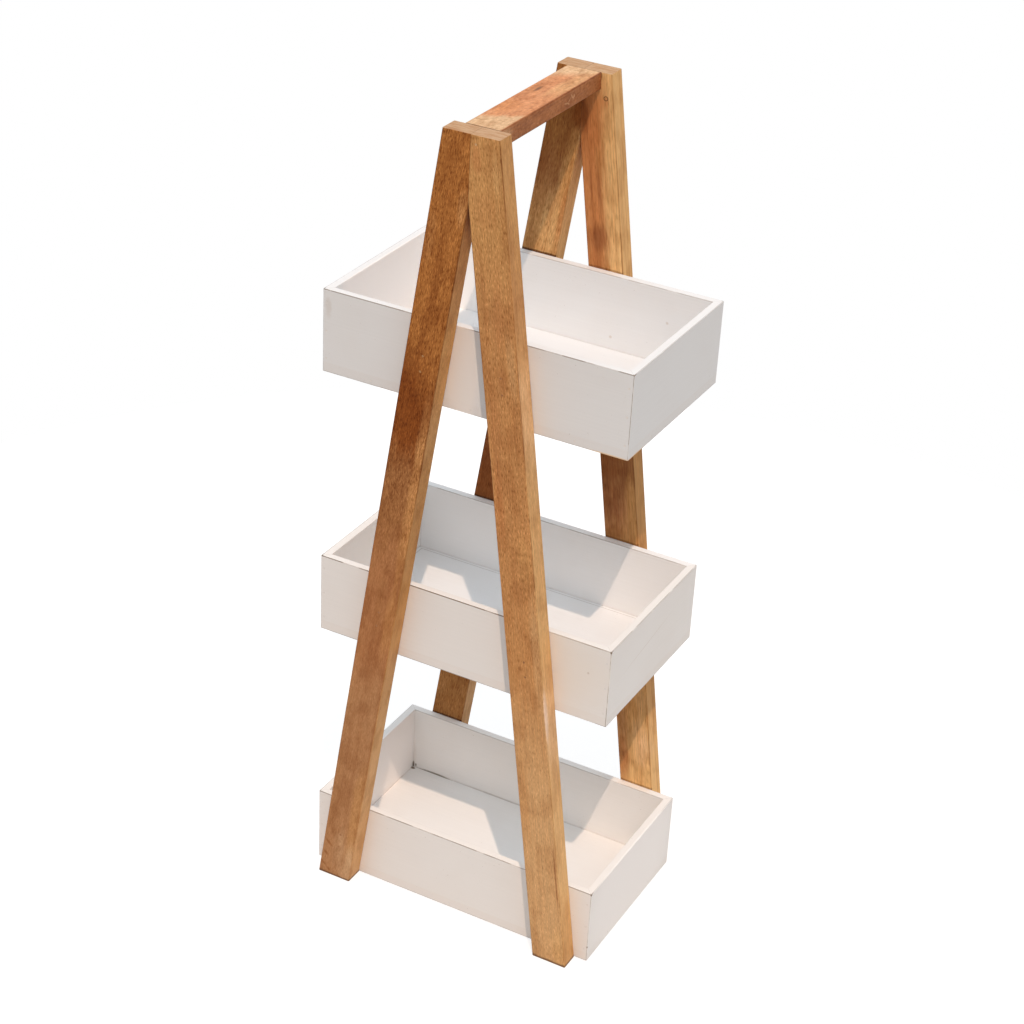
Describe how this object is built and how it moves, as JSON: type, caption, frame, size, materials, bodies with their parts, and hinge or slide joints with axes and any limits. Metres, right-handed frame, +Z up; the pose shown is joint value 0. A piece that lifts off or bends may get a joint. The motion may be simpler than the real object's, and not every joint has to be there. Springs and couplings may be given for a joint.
{
  "type": "tiered tray shelf",
  "caption": "Free-standing A-frame timber stand with open painted trays stacked between leaning front and rear legs, and a handle rail across the top.",
  "frame": {"origin": "on the ground under the middle of the stand", "axes": "+Z up, +X along the trays to the right seen from the front, +Y from the front frame to the rear frame"},
  "size_m": [0.4, 0.288, 1.06],
  "materials": {
    "oiled_timber": "oiled, eased edges",
    "painted_board": "matt off-white paint",
    "dowel_wood": "plain, glued in",
    "steel_nail": "bright steel, heads set and filled"
  },
  "bodies": {
    "root": {"bottom_tray_corner_nails": "steel_nail", "bottom_tray_floor_nails": "steel_nail", "bottom_tray_floor_panel": "painted_board", "bottom_tray_front_board": "painted_board", "bottom_tray_left_end_board": "painted_board", "bottom_tray_leg_nails": "steel_nail", "bottom_tray_rear_board": "painted_board", "bottom_tray_right_end_board": "painted_board", "front_left_leg": "oiled_timber", "front_mitre_dowels": "dowel_wood", "front_rail_dowels": "dowel_wood", "front_right_leg": "oiled_timber", "handle_rail": "oiled_timber", "middle_tray_corner_nails": "steel_nail", "middle_tray_floor_nails": "steel_nail", "middle_tray_floor_panel": "painted_board", "middle_tray_front_board": "painted_board", "middle_tray_left_end_board": "painted_board", "middle_tray_leg_nails": "steel_nail", "middle_tray_rear_board": "painted_board", "middle_tray_right_end_board": "painted_board", "rail_nails": "steel_nail", "rear_left_leg": "oiled_timber", "rear_mitre_dowels": "dowel_wood", "rear_rail_dowels": "dowel_wood", "rear_right_leg": "oiled_timber", "top_tray_corner_nails": "steel_nail", "top_tray_floor_nails": "steel_nail", "top_tray_floor_panel": "painted_board", "top_tray_front_board": "painted_board", "top_tray_left_end_board": "painted_board", "top_tray_leg_nails": "steel_nail", "top_tray_rear_board": "painted_board", "top_tray_right_end_board": "painted_board"}
  },
  "joints": []
}
